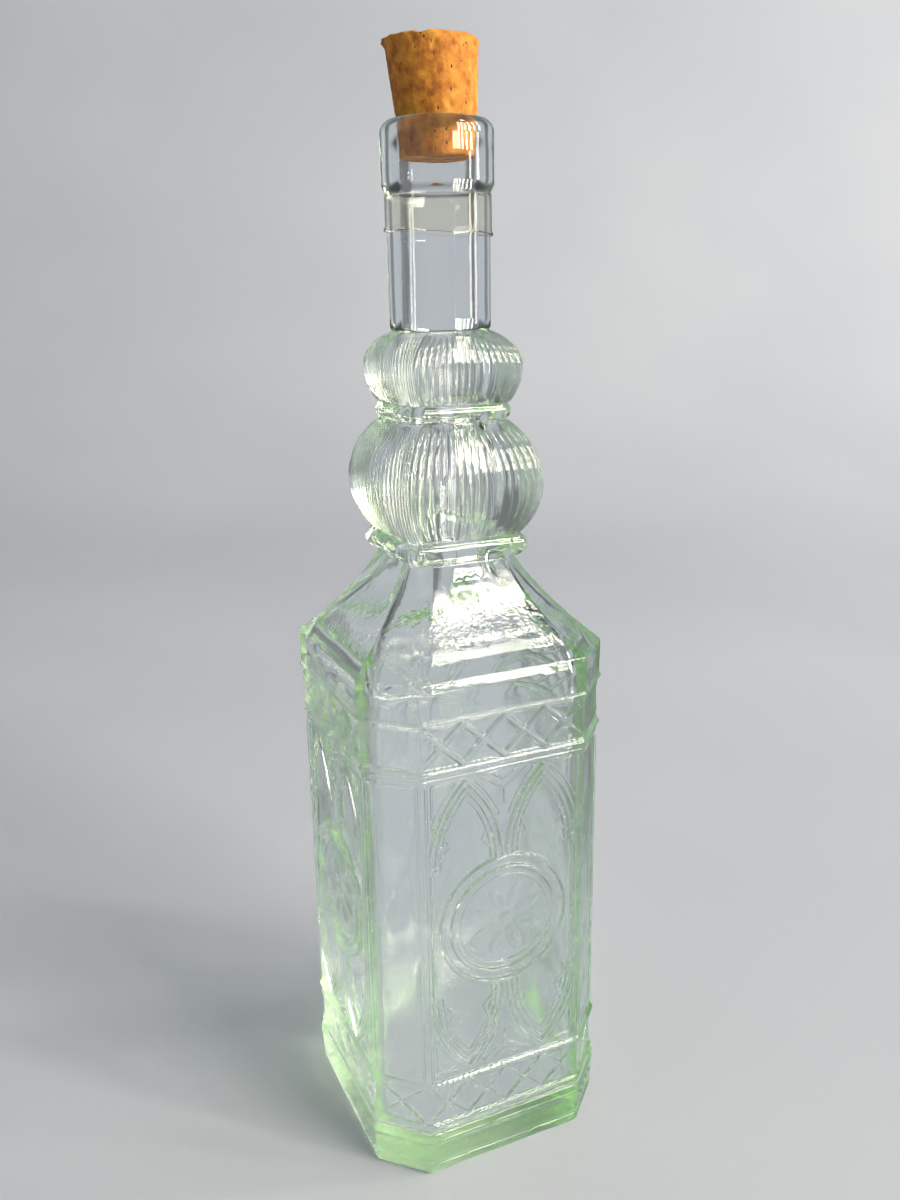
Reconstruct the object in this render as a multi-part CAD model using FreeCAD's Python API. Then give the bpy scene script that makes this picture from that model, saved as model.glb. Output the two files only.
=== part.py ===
import FreeCAD, Part

import math
import os

# Embossed glass bottle with a tapered cork. Millimetres, +Z up, origin at the centre of the base.
# The body is a square with cut corners; every plan section is given by its half width across
# the flats and by how much each flat loses at a corner.

V = FreeCAD.Vector

# Plan sizes of the square parts: half width, corner cut
body_half = 35.2
body_cut = 11.5
plinth_overhang = 1.3
plinth_draft = 0.8
foot_bevel = 1.2
ledge_bevel_height = 1.0
ledge_bevel = 0.6
band_overhang = 1.1
band_bevel_below = 1.2
band_bevel_above = 0.4
collar_low_half = 17.6
collar_low_cut = 1.8
bulb_low_half = 21.3
bulb_low_cut = 3.6
collar_up_half = 14.6
collar_up_cut = 2.6
bulb_up_half = 17.1
bulb_up_cut = 3.0
shoulder_top_half = 15.4
shoulder_top_cut = 5.0

# Heights of the storeys, from the base up
plinth_height = 14.2
lower_lattice_height = 14.8
panel_height = 95.0
upper_lattice_height = 13.0
band_height = 11.5
shoulder_height = 24.0
collar_low_height = 6.0
bulb_low_height = 30.0
collar_up_height = 4.5
bulb_up_height = 19.0
neck_length = 33.5
lip_height = 16.2

# Curves of the storeys
shoulder_dip = 1.6
bulb_low_equator = 0.45
bulb_low_curve = 23.0
bulb_up_equator = 0.48
bulb_up_curve_below = 17.0
bulb_up_curve_above = 12.5
bulb_corner_round = 4.0
collar_edge_angle = 70
collar_edge_depth = 0.3

# Round parts
neck_radius = 13.2
lip_radius = 14.35
lip_round = 3.2
lip_cove = 2.4

# Glass thicknesses
body_wall = 4.0
floor_thickness = 9.0
bulb_wall = 3.3
throat_radius = 10.6
throat_cut = 0.58
throat_clearance = 0.3
cavity_corner_round = 6.0
cavity_floor_round = 4.0
cavity_shoulder_drop = 3.0
cavity_shoulder_dip = 1.3
bulb_hollow_inset = 0.6

# How far a storey or a hollow runs into the next one, so that they join
shaft_overlap = 1.0
bulb_overlap = 0.5
neck_overlap = 2.0
slope_overlap = 1.0
bore_overlap = 3.0
mouth_overrun = 1.0

# Number of plan sections that draw each curve
shoulder_sections = 7
bulb_sections = 9
slope_sections = 6
round_sections = 7

# Raised mouldings on the body
ridge_rise = 0.9
ridge_height = 2.2
relief_rise = 0.7
relief_root = 0.6
medallion_radius = 19.7
medallion_inner_radius = 16.6
ring_width = 1.6
arch_half_span = 11.9
arch_height = 22.0
arch_strip = 1.2
arch_gap = 1.1
arch_clearance = 2.0
panel_border = 1.1
panel_inset = 0.4
lattice_count = 4
upper_bar_width = 2.2
lower_bar_width = 1.2

# Cork
cork_top_radius = 11.8
cork_taper = 0.085
cork_length = 27.5
cork_depth = 9.2
cork_seat = 4.0
cork_edge = 0.6

# Clear film sleeve round the neck, below the lip
sleeve_length = 9.2
sleeve_thickness = 0.35
sleeve_clearance = 0.1
sleeve_flare = 0.45
sleeve_flare_height = 1.6
sleeve_tilt = 3.0
sleeve_low_side = -24.0
sleeve_trim_margin = 1.0
sleeve_trim_size = 6

# Limits of a rounded corner: its tangent as a share of a side, and a bulge's reach of its radius
tangent_limit = 0.45
bulge_limit = 0.95
half_corner = math.tan(math.radians(22.5))

# Levels
ledge_z = plinth_height
ridge_low_z = ledge_z + lower_lattice_height
ridge_high_z = ridge_low_z + panel_height
band_z = ridge_high_z + upper_lattice_height
shoulder_z = band_z + band_height
collar_low_z = shoulder_z + shoulder_height
bulb_low_z = collar_low_z + collar_low_height
collar_up_z = bulb_low_z + bulb_low_height
bulb_up_z = collar_up_z + collar_up_height
neck_z = bulb_up_z + bulb_up_height
lip_z = neck_z + neck_length
mouth_z = lip_z + lip_height

# The cork's underside and its radius at any level; the mouth takes its seat from the same cone
cork_z = mouth_z - cork_depth
cork_top_z = cork_z + cork_length


def cork_radius(z):
    return cork_top_radius - cork_taper * (cork_top_z - z)


seat_z = mouth_z - cork_seat
bore_radius = cork_radius(seat_z)


def offset_cut(cut, offset):
    """Corner cut of a section moved outward by offset on all its eight sides."""
    return cut + (2 - math.sqrt(2)) * offset


def section(half, cut, z, corner=0.0):
    """Closed plan wire: a square of the given half width with cut, optionally rounded corners."""
    short = half - cut
    points = [V(half, -short, z), V(half, short, z), V(short, half, z), V(-short, half, z),
              V(-half, short, z), V(-half, -short, z), V(-short, -half, z), V(short, -half, z)]
    if corner <= 0:
        return Part.makePolygon(points + points[:1])
    # Tangent length of an arc that turns 45 degrees, kept inside the shorter side
    shorter_side = min(cut * math.sqrt(2), 2 * short)
    tangent = min(corner * half_corner, tangent_limit * shorter_side)
    radius = tangent / half_corner
    bulge_out = radius * (math.sqrt(1 + half_corner ** 2) - 1)
    edges = []
    starts = []
    ends = []
    mids = []
    for i, point in enumerate(points):
        back = (points[i - 1] - point).normalize()
        ahead = (points[(i + 1) % 8] - point).normalize()
        starts.append(point + back * tangent)
        ends.append(point + ahead * tangent)
        mids.append(point + (back + ahead).normalize() * bulge_out)
    for i in range(8):
        edges.append(Part.Arc(starts[i], mids[i], ends[i]).toShape())
        edges.append(Part.makeLine(ends[i], starts[(i + 1) % 8]))
    return Part.Wire(edges)


def stack(levels, corner=0.0, ruled=True):
    """Solid through plan sections given as (z, half, cut)."""
    wires = [section(half, cut, z, corner) for z, half, cut in levels]
    return Part.makeLoft(wires, True, ruled)


def turned(outline):
    """Solid of revolution about Z from a closed list of (radius, z) corners."""
    points = [V(radius, 0, z) for radius, z in outline]
    face = Part.Face(Part.makePolygon(points + points[:1]))
    return face.revolve(V(0, 0, 0), V(0, 0, 1), 360)


def spread(start, end, count):
    return [start + (end - start) * i / (count - 1) for i in range(count)]


def shoulder_half(z):
    """Half width of the shoulder: a straight slope that dips inward as a shallow arc."""
    base = body_half + band_overhang
    rise = (z - shoulder_z) / shoulder_height
    slope = base + (shoulder_top_half - base) * rise
    return slope - 4 * shoulder_dip * rise * (1 - rise)


def shoulder_cut(z):
    base = offset_cut(body_cut, band_overhang)
    rise = (z - shoulder_z) / shoulder_height
    return base + (shoulder_top_cut - base) * rise


def bulge(z, z_middle, half_middle, curve):
    """Half width of a bulb whose side is an arc of radius curve about its widest level."""
    away = min(abs(z - z_middle), bulge_limit * curve)
    return half_middle - curve + math.sqrt(curve ** 2 - away ** 2)


def bulb_low_width(z):
    return bulge(z, bulb_low_z + bulb_low_equator * bulb_low_height, bulb_low_half, bulb_low_curve)


def bulb_up_width(z):
    middle = bulb_up_z + bulb_up_equator * bulb_up_height
    curve = bulb_up_curve_below if z < middle else bulb_up_curve_above
    return bulge(z, middle, bulb_up_half, curve)


def offset_body(*steps):
    """Plan levels of the body from (z, offset from the panel face)."""
    return [(z, body_half + offset, offset_cut(body_cut, offset)) for z, offset in steps]


def body_shell():
    """Plinth, body, overhanging band and shoulder as one stack of cut squares."""
    foot = plinth_overhang - plinth_draft
    plinth = stack(offset_body((0, foot - foot_bevel),
                               (foot_bevel, foot),
                               (plinth_height - ledge_bevel_height, plinth_overhang),
                               (plinth_height, plinth_overhang - ledge_bevel)))
    shaft = stack(offset_body((plinth_height - shaft_overlap, 0), (band_z + shaft_overlap, 0)))
    band = stack(offset_body((band_z - band_bevel_below, 0),
                             (band_z + band_bevel_above, band_overhang),
                             (shoulder_z, band_overhang)))
    levels = []
    for z in spread(shoulder_z, collar_low_z, shoulder_sections):
        levels.append((z, shoulder_half(z), shoulder_cut(z)))
    shoulder = stack(levels, ruled=False)
    return [plinth, shaft, band, shoulder]


def ridge(z_middle):
    """Moulding that runs round the body with a rounded face."""
    low = z_middle - ridge_height / 2
    steps = []
    for angle in spread(0, math.pi, round_sections):
        steps.append((low + ridge_height * (1 - math.cos(angle)) / 2, ridge_rise * math.sin(angle)))
    return stack(offset_body(*steps))


def collar(z, height, half, cut):
    """Square plate with a rounded edge."""
    steps = []
    turn = math.radians(collar_edge_angle)
    for angle in spread(-turn, turn, round_sections):
        inset = collar_edge_depth * height * (1 - math.cos(angle))
        level = z + height / 2 * (1 + math.sin(angle) / math.sin(turn))
        steps.append((level, half - inset, cut))
    return stack(steps)


def bulbs():
    """The two square bulbs with bulging sides and rounded corners."""
    low_levels = []
    for z in spread(bulb_low_z - bulb_overlap, collar_up_z + bulb_overlap, bulb_sections):
        low_levels.append((z, bulb_low_width(z), bulb_low_cut))
    up_levels = []
    for z in spread(bulb_up_z - bulb_overlap, neck_z, bulb_sections):
        up_levels.append((z, bulb_up_width(z), bulb_up_cut))
    return [stack(low_levels, bulb_corner_round, ruled=False),
            stack(up_levels, bulb_corner_round, ruled=False)]


def neck_and_lip():
    """Round neck with a tall lip ring that has a rounded top."""
    root = neck_z - neck_overlap
    outline = [(0, root), (neck_radius, root), (neck_radius, lip_z - lip_cove / 2),
               (lip_radius, lip_z + lip_cove / 2)]
    for angle in spread(0, math.pi / 2, round_sections):
        outline.append((lip_radius - lip_round * (1 - math.cos(angle)),
                        mouth_z - lip_round * (1 - math.sin(angle))))
    outline.append((0, mouth_z))
    return turned(outline)


def cavity():
    """Hollow of the bottle: square with cut corners below, square throats, round bore above."""
    inner = body_half - body_wall
    inner_cut = offset_cut(body_cut, -body_wall)
    room_levels = []
    for angle in spread(0, math.pi / 2, 3):
        inset = cavity_floor_round * (1 - math.sin(angle))
        level = floor_thickness + cavity_floor_round * (1 - math.cos(angle))
        room_levels.append((level, inner - inset, inner_cut))
    room_top = shoulder_z - cavity_shoulder_drop
    room_levels.append((room_top, inner, inner_cut))
    room = stack(room_levels, cavity_corner_round)
    slope_top = collar_low_z - slope_overlap
    slope_levels = []
    for z in spread(room_top, slope_top, slope_sections):
        rise = (z - room_top) / (slope_top - room_top)
        half = inner + (throat_radius - inner) * rise - 4 * cavity_shoulder_dip * rise * (1 - rise)
        cut = inner_cut + (throat_cut * throat_radius - inner_cut) * rise
        slope_levels.append((z, half, cut))
    slope = stack(slope_levels, cavity_corner_round, ruled=False)
    parts = [room, slope]
    for start, end, width in ((bulb_low_z, collar_up_z, bulb_low_width),
                              (bulb_up_z, neck_z, bulb_up_width)):
        levels = []
        for z in spread(start + bulb_hollow_inset, end - bulb_hollow_inset, bulb_sections):
            half = max(width(z) - bulb_wall, throat_radius - throat_clearance)
            levels.append((z, half, throat_cut * half))
        parts.append(stack(levels, cavity_corner_round, ruled=False))
    bore_bottom = collar_low_z - bore_overlap
    parts.append(Part.makeCylinder(bore_radius, seat_z - bore_bottom, V(0, 0, bore_bottom)))
    seat_radius = cork_radius(mouth_z + mouth_overrun)
    parts.append(Part.makeCone(bore_radius, seat_radius, cork_seat + mouth_overrun, V(0, 0, seat_z)))
    return parts[0].multiFuse(parts[1:])


def flat_strip(points):
    """Flat face on the XZ plane from (u, v) corners."""
    corners = [V(u, 0, v) for u, v in points]
    return Part.Face(Part.makePolygon(corners + corners[:1]))


def flat_ring(outer, width, v):
    disc = Part.makeCircle(outer, V(0, 0, v), V(0, -1, 0))
    hole = Part.makeCircle(outer - width, V(0, 0, v), V(0, -1, 0))
    return Part.Face(Part.Wire(disc)).cut(Part.Face(Part.Wire(hole)))


def arch_strip_face(centre_u, spring_v, side, direction, inset):
    """One curved side of a pointed arch, inset from the outer line of the arch."""
    # The side is an arc that starts upright at the springing and ends at the apex
    outer = (arch_half_span ** 2 + arch_height ** 2) / (2 * arch_half_span)
    hub_u = centre_u + side * (arch_half_span - outer)
    edges = []
    for radius in (outer - inset, outer - inset - arch_strip):
        ring = Part.makeCircle(radius, V(hub_u, 0, spring_v), V(0, -1, 0))
        edges.append(Part.Face(Part.Wire(ring)))
    strip = edges[0].cut(edges[1])
    keep = flat_strip([(centre_u, spring_v), (centre_u + side * arch_half_span, spring_v),
                       (centre_u + side * arch_half_span, spring_v + direction * arch_height),
                       (centre_u, spring_v + direction * arch_height)])
    return strip.common(keep)


def lattice_faces(low, high, width):
    """Crossing slanted bars between two levels, lattice_count diamonds across the panel."""
    half_face = body_half - body_cut - panel_inset
    pitch = 2 * half_face / lattice_count
    window = flat_strip([(-half_face, low), (half_face, low), (half_face, high), (-half_face, high)])
    slant = math.atan2(high - low, pitch)
    reach = width / 2 / math.sin(slant)
    bars = []
    for i in range(-1, lattice_count + 1):
        left = -half_face + i * pitch
        bars.append(flat_strip([(left - reach, low), (left + reach, low),
                                (left + pitch + reach, high), (left + pitch - reach, high)]))
        bars.append(flat_strip([(left - reach, high), (left + reach, high),
                                (left + pitch + reach, low), (left + pitch - reach, low)]))
    return [bar.common(window) for bar in bars]


def panel_relief():
    """Raised pattern of one panel, standing on the plane y = -body_half."""
    middle = (ridge_low_z + ridge_high_z) / 2
    half_face = body_half - body_cut - panel_inset
    faces = [flat_ring(medallion_radius, ring_width, middle),
             flat_ring(medallion_inner_radius, ring_width, middle)]
    for direction in (-1, 1):
        spring = middle + direction * (medallion_radius + arch_clearance)
        for centre_u in (-half_face / 2, half_face / 2):
            for side in (-1, 1):
                for inset in (0, arch_strip + arch_gap):
                    faces.append(arch_strip_face(centre_u, spring, side, direction, inset))
    low = ridge_low_z
    high = ridge_high_z
    for side in (-1, 1):
        faces.append(flat_strip([(side * half_face, low), (side * (half_face - panel_border), low),
                                 (side * (half_face - panel_border), high), (side * half_face, high)]))
    faces += lattice_faces(ledge_z + ridge_height / 2, ridge_low_z, lower_bar_width)
    faces += lattice_faces(ridge_high_z, band_z, upper_bar_width)
    pattern = faces[0].multiFuse(faces[1:]).removeSplitter()
    raised = pattern.extrude(V(0, -(relief_rise + relief_root), 0))
    raised.translate(V(0, relief_root - body_half, 0))
    return raised


def glass_bottle():
    outside = body_shell() + bulbs()
    outside += [ridge(ledge_z + ridge_height / 2), ridge(ridge_low_z), ridge(ridge_high_z)]
    outside.append(collar(collar_low_z, collar_low_height, collar_low_half, collar_low_cut))
    outside.append(collar(collar_up_z, collar_up_height, collar_up_half, collar_up_cut))
    outside.append(neck_and_lip())
    plain = outside[0].multiFuse(outside[1:]).cut(cavity())
    pattern = panel_relief()
    mouldings = []
    for quarter in range(4):
        copy = pattern.copy()
        copy.rotate(V(0, 0, 0), V(0, 0, 1), 90 * quarter)
        mouldings += copy.Solids
    return plain.fuse(Part.makeCompound(mouldings))


def cork_stopper():
    """Tapered cork, pushed into the mouth down to its seat."""
    low_edge = cork_z + cork_edge
    high_edge = cork_top_z - cork_edge
    return turned([(0, cork_z), (cork_radius(cork_z) - cork_edge, cork_z),
                   (cork_radius(low_edge), low_edge), (cork_radius(high_edge), high_edge),
                   (cork_top_radius - cork_edge, cork_top_z), (0, cork_top_z)])


def neck_sleeve():
    """Thin clear sleeve round the upper neck, open below, with a slanted, slightly flared edge."""
    inner = neck_radius + sleeve_clearance
    outer = inner + sleeve_thickness
    top = lip_z - lip_cove / 2 - sleeve_clearance
    low = top - sleeve_length
    drop = outer * math.tan(math.radians(sleeve_tilt))
    floor = low - drop - sleeve_trim_margin
    sleeve = turned([(inner, top), (outer, top), (outer, low + sleeve_flare_height),
                     (outer + sleeve_flare, floor), (inner + sleeve_flare, floor),
                     (inner, low + sleeve_flare_height)])
    side = sleeve_trim_size * outer
    trim = Part.makeBox(side, side, side, V(-side / 2, -side / 2, -side))
    trim.rotate(V(0, 0, 0), V(0, 1, 0), sleeve_tilt)
    trim.rotate(V(0, 0, 0), V(0, 0, 1), sleeve_low_side)
    trim.translate(V(0, 0, low))
    return sleeve.cut(trim)


def main():
    os.makedirs("parts", exist_ok=True)
    nodes = {"glass_bottle": glass_bottle(), "cork_stopper": cork_stopper(), "neck_sleeve": neck_sleeve()}
    for name, shape in nodes.items():
        solid = shape.Solids[0] if len(shape.Solids) == 1 else shape
        solid.exportStep("parts/%s.step" % name)
        print(name, shape.isValid(), len(shape.Solids), len(shape.Faces), shape.Volume, shape.BoundBox)


main()
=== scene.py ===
import math

import bpy
import numpy as np
from mathutils import Matrix, Vector
from mathutils.geometry import delaunay_2d_cdt


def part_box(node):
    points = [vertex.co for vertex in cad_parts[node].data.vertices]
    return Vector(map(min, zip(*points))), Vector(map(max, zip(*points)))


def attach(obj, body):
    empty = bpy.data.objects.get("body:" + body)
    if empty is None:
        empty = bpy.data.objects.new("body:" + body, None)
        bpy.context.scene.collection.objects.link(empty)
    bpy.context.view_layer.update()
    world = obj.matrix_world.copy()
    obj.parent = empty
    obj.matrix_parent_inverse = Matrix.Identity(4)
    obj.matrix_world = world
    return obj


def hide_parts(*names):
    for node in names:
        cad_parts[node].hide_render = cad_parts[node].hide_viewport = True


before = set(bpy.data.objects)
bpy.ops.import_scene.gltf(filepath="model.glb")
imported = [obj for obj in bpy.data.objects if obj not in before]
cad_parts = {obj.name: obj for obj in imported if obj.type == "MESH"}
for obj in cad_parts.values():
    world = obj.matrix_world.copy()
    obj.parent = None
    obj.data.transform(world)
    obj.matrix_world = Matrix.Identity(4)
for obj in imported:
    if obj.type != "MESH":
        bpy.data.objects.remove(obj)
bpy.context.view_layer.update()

# An embossed glass bottle with a cork. Shapes are worked out in millimetres and written to the
# meshes in metres. Plan sections are squares with cut corners: half is the distance to a main
# face, cut is what each face loses at a corner, and corner is the rounding of the eight edges.
# Relief is drawn on the flats of the body, with u across and v up, from the foot of the bottle.

MM = 0.001

# --- Levels ---
_, glass_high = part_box("glass_bottle")
cork_low, cork_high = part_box("cork_stopper")
_, sleeve_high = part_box("neck_sleeve")
MOUTH_Z = glass_high[2] / MM
CORK_Z = cork_low[2] / MM
CORK_TOP_Z = cork_high[2] / MM
SLEEVE_TOP_Z = sleeve_high[2] / MM

FOOT_BEAD_Z = 2.5
PLINTH_GROOVE_Z = 3.7
PLINTH_BEAD_Z = 8.4
PLINTH_LINE_Z = 11.3
LEDGE_Z = 14.2
PEARL_Z = 15.8
RIDGE_LOW_Z = 29.0
ROPE_LINE_Z = 121.4
RIDGE_HIGH_Z = 123.7
BAND_UNDER_Z = 136.3
BEAD_Z = 137.6
SHOULDER_Z = 148.5
COLLAR_LOW_Z = 172.5
BULB_LOW_Z = 178.5
COLLAR_UP_Z = 208.5
BULB_UP_Z = 213.0
NECK_Z = 232.0
BULB_ROUND_Z = NECK_Z - 10.0
LIP_Z = MOUTH_Z - 16.2

# --- Plan sizes ---
BODY_LIMIT = glass_high[0] / MM - 0.01
BODY_HALF = 35.2
BODY_CUT = 11.5
EDGE_ROUND = 1.1
FOOT_ROUND = 1.6
PLINTH_OUT = 1.1
PLINTH_DRAFT = 0.6
PLINTH_ROUND = 0.9
BAND_OUT = 0.72
BAND_ROUND = 1.0
SHOULDER_BASE_OUT = BAND_OUT - 0.6
SHOULDER_TOP_HALF = 15.4
SHOULDER_TOP_CUT = 5.0
SHOULDER_DIP = 1.6
COLLAR_LOW_HALF = 17.5
COLLAR_LOW_CUT = 1.8
COLLAR_UP_HALF = 14.5
COLLAR_UP_CUT = 2.6
BULB_LOW_HALF = 20.7
BULB_LOW_CUT = 2.0
BULB_UP_HALF = 16.6
BULB_UP_CUT = 1.7
BULB_CORNER = 1.4
NECK_RADIUS = 13.2
LIP_RADIUS = 14.3
LIP_ROUND = 3.2
MOUTH_ROUND = 0.7
CORK_GAP = 0.1
CORK_SEAT = 4.0
BORE_RADIUS = 10.2
WALL = 4.0
BULB_WALL = 3.2
THROAT_HALF = 11.0
INNER_ROUND = 6.0
INNER_CUT_SHARE = 0.58
FLOOR_Z = 9.0

# --- Relief ---
FINE_LINE_WIDTH = 0.9
RIDGE_UNDER = 0.55
RIDGE_RISE = 1.0
ROPE_LINE_WIDTH = 1.0
PEARL_RISE = 0.72
BEAD_RISE = 0.5
BEAD_UNDER = 0.3
LOW_TILT = math.radians(20.0)
HIGH_TILT = math.radians(44.0)
PANEL_MIDDLE = 76.5
MEDALLION_RADIUS = 18.9
MEDALLION_INNER = 15.7
ARCH_CENTRE = 11.3
ARCH_SPAN = 11.2
ARCH_RADIUS = 32.5
ARCH_HEIGHT = math.sqrt(ARCH_RADIUS ** 2 - (ARCH_RADIUS - ARCH_SPAN) ** 2)
ARCH_TOP = 44.4
RIBS_PER_QUARTER = 19
RIB_DEPTH = 0.34
FINE_STEP = 0.9

# Ribs as radius or inset, width and rise
RING_RIBS = ((MEDALLION_RADIUS, 1.7, 0.9), (MEDALLION_INNER, 1.7, 0.85),
             (MEDALLION_INNER - 2.4, 0.9, 0.35))
ARCH_RIBS = ((0.7, 1.4, 0.95), (2.4, 1.2, 0.75), (3.9, 0.9, 0.5))

# Beads as pitch, long and short radius, rise, slant and power, where a low power flattens the top
FOOT_BEADS = (1.7, 0.55, 0.45, 0.25, 0.0, 0.5)
PLINTH_BEADS = (3.3, 0.8, 0.8, 0.3, 0.0, 0.5)
PEARLS = (1.5, 0.75, 0.6, 0.10, 0.0, 0.3)
ROPE = (1.7, 1.05, 0.8, 0.09, 0.6, 0.3)
BAND_BEADS = (1.3, 0.5, 0.5, 0.05, 0.0, 0.3)

# --- Grid of the turned and square storeys: steps over each face, edge arc and cut corner ---
OUTER_STEPS = FACE_STEPS, ARC_STEPS, CUT_STEPS = 128, 3, 18
INNER_STEPS = 62, 2, 10
QUARTER_COLUMNS = FACE_STEPS + 2 * ARC_STEPS + CUT_STEPS
TAN_HALF_TURN = math.tan(math.radians(22.5))


def wider_cut(cut, offset):
    """Corner cut of a section whose eight sides all move outward by offset."""
    return cut + (2 - math.sqrt(2)) * offset


def round_edge(radius, count, turn=math.pi / 2):
    """Steps over an arc, as radius times (1 - sine) and radius times (1 - cosine)."""
    return [(radius * (1 - math.sin(angle)), radius * (1 - math.cos(angle)))
            for angle in np.linspace(0, turn, count)]


def ring_points(half, cut, corner, steps=OUTER_STEPS):
    """Points and outward normals round a square with cut, rounded corners, counterclockwise."""
    faces, arcs, cuts = steps
    corner = min(corner, 0.46 * cut * math.sqrt(2) / TAN_HALF_TURN)
    straight = half - cut - corner * TAN_HALF_TURN
    first_hub = np.array([straight, -half + corner])
    second_hub = np.array([half - corner, -straight])
    eighth = math.pi / 4
    points, normals = [], []

    def add(point, angle, away=0.0):
        normal = np.array([math.sin(angle), -math.cos(angle)])
        points.append(point + away * normal)
        normals.append(normal)

    for i in range(faces):
        add(np.array([straight * (2 * i / faces - 1), -half]), 0.0)
    for i in range(arcs):
        add(first_hub, eighth * i / arcs, corner)
    for i in range(cuts):
        add(first_hub + (second_hub - first_hub) * i / cuts, eighth, corner)
    for i in range(arcs):
        add(second_hub, eighth * (1 + i / arcs), corner)
    turn = np.array([[0, 1], [-1, 0]])
    rings, outs = [np.array(points)], [np.array(normals)]
    for _ in range(3):
        rings.append(rings[-1] @ turn)
        outs.append(outs[-1] @ turn)
    return np.concatenate(rings), np.concatenate(outs)


def circle_points(radius, steps=OUTER_STEPS):
    """Points round a circle, as many as in a ring and lined up with it."""
    faces, arcs, cuts = steps
    count = 4 * (faces + 2 * arcs + cuts)
    angles = -math.pi / 2 + (np.arange(count) - faces / 2) * 2 * math.pi / count
    return radius * np.stack([np.cos(angles), np.sin(angles)], axis=1)


def at_level(points, z):
    return np.column_stack([points, np.full(len(points), z)])


def smooth_step(value, low, high):
    t = np.clip((value - low) / (high - low), 0, 1)
    return t * t * (3 - 2 * t)


def outward_of(points):
    """Unit vectors away from the axis, and the distances from it."""
    outward = points * np.array([1, 1, 0])
    reach = np.linalg.norm(outward, axis=1)
    return outward / np.maximum(reach, 1e-6)[:, None], reach


class Shell:
    """Collects vertices and faces in millimetres, and welds them."""

    def __init__(self):
        self.points = []
        self.faces = []

    def add_points(self, points):
        start = sum(map(len, self.points))
        self.points.append(np.asarray(points, float))
        return start

    def add_rows(self, rows, closed=True):
        """Rings, or open rows, of (n, 3) points, joined going up and counterclockwise."""
        starts = [self.add_points(row) for row in rows]
        count = len(rows[0])
        here = np.arange(count if closed else count - 1)
        ahead = (here + 1) % count
        for low, high in zip(starts, starts[1:]):
            self.faces += np.stack([low + here, low + ahead, high + ahead, high + here], 1).tolist()
        return starts

    def add_cap(self, start, count, z, faces_up):
        """Fan of triangles from the axis to a ring."""
        hub = self.add_points([(0, 0, z)])
        for j in range(count):
            pair = [start + j, start + (j + 1) % count]
            self.faces.append([hub] + (pair if faces_up else pair[::-1]))

    def add_triangles(self, points, triangles):
        start = self.add_points(points)
        self.faces += (np.asarray(triangles) + start).tolist()

    def welded(self):
        points = np.concatenate(self.points)
        keys = np.round(points, 3) + 0.0
        _, keep, lookup = np.unique(keys, axis=0, return_index=True, return_inverse=True)
        lookup = lookup.reshape(-1)
        faces = []
        for face in self.faces:
            corners = [int(lookup[i]) for i in face]
            corners = [c for i, c in enumerate(corners) if c != corners[i - 1]]
            if len(corners) > 2:
                faces.append(corners)
        return points[keep], faces


def add_object(name, data):
    obj = bpy.data.objects.new(name, data)
    bpy.context.scene.collection.objects.link(obj)
    return obj


def make_object(name, points, faces, material, unit=MM):
    mesh = bpy.data.meshes.new(name)
    mesh.from_pydata((points * unit).tolist(), [], faces)
    mesh.validate()
    mesh.polygons.foreach_set("use_smooth", [True] * len(mesh.polygons))
    mesh.materials.append(material)
    return add_object(name, mesh)


def waves(points, seed, wavelength, count=14):
    """Smooth uneven field between about -1 and 1, a sum of seeded sine waves."""
    rng = np.random.default_rng(seed)
    total = np.zeros(len(points))
    for _ in range(count):
        direction = rng.normal(size=3)
        direction /= np.linalg.norm(direction)
        turns = 2 * math.pi / (wavelength * rng.uniform(0.7, 1.6))
        total += np.sin(points @ direction * turns + rng.uniform(0, 2 * math.pi))
    return total / math.sqrt(count)


# --- Body profile: how far the walls stand out of the plain body at each level ---
ROUND_SHARES = (0.38, 0.72, 0.93, 1.0)


def round_ridge(distance, width, rise):
    return rise * np.sqrt(np.clip(1 - (2 * distance / width) ** 2, 0, 1))


def slope_height(rise):
    """Height of the facet of a ledge that stands out by rise."""
    turn = math.sin(HIGH_TILT) - math.sin(LOW_TILT)
    return rise * turn / (math.cos(LOW_TILT) - math.cos(HIGH_TILT))


def ledge(v, crest, rise, under=RIDGE_UNDER):
    """Moulding with a steep round underside and an almost flat facet that faces up and out."""
    below = rise * np.sqrt(np.clip(1 - ((crest - v) / under) ** 2, 0, 1))
    share = np.clip((v - crest) / slope_height(rise), 0, 1)
    sine = math.sin(LOW_TILT) + share * (math.sin(HIGH_TILT) - math.sin(LOW_TILT))
    fall = math.cos(LOW_TILT) - np.sqrt(1 - sine ** 2)
    fall = fall / (math.cos(LOW_TILT) - math.cos(HIGH_TILT))
    return np.where(v < crest, below, rise * (1 - fall))


def ledge_levels(crest, rise, under=RIDGE_UNDER):
    low = [crest - under * share for share in (*ROUND_SHARES[::-1], 0.15)]
    return low + [crest + slope_height(rise) * share for share in (0.0, 0.2, 0.4, 0.6, 0.8, 1.0)]


def ridge_levels(middle, width):
    shares = [-share for share in ROUND_SHARES[::-1]] + [0.0, *ROUND_SHARES]
    return [middle + width / 2 * share for share in shares]


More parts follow.
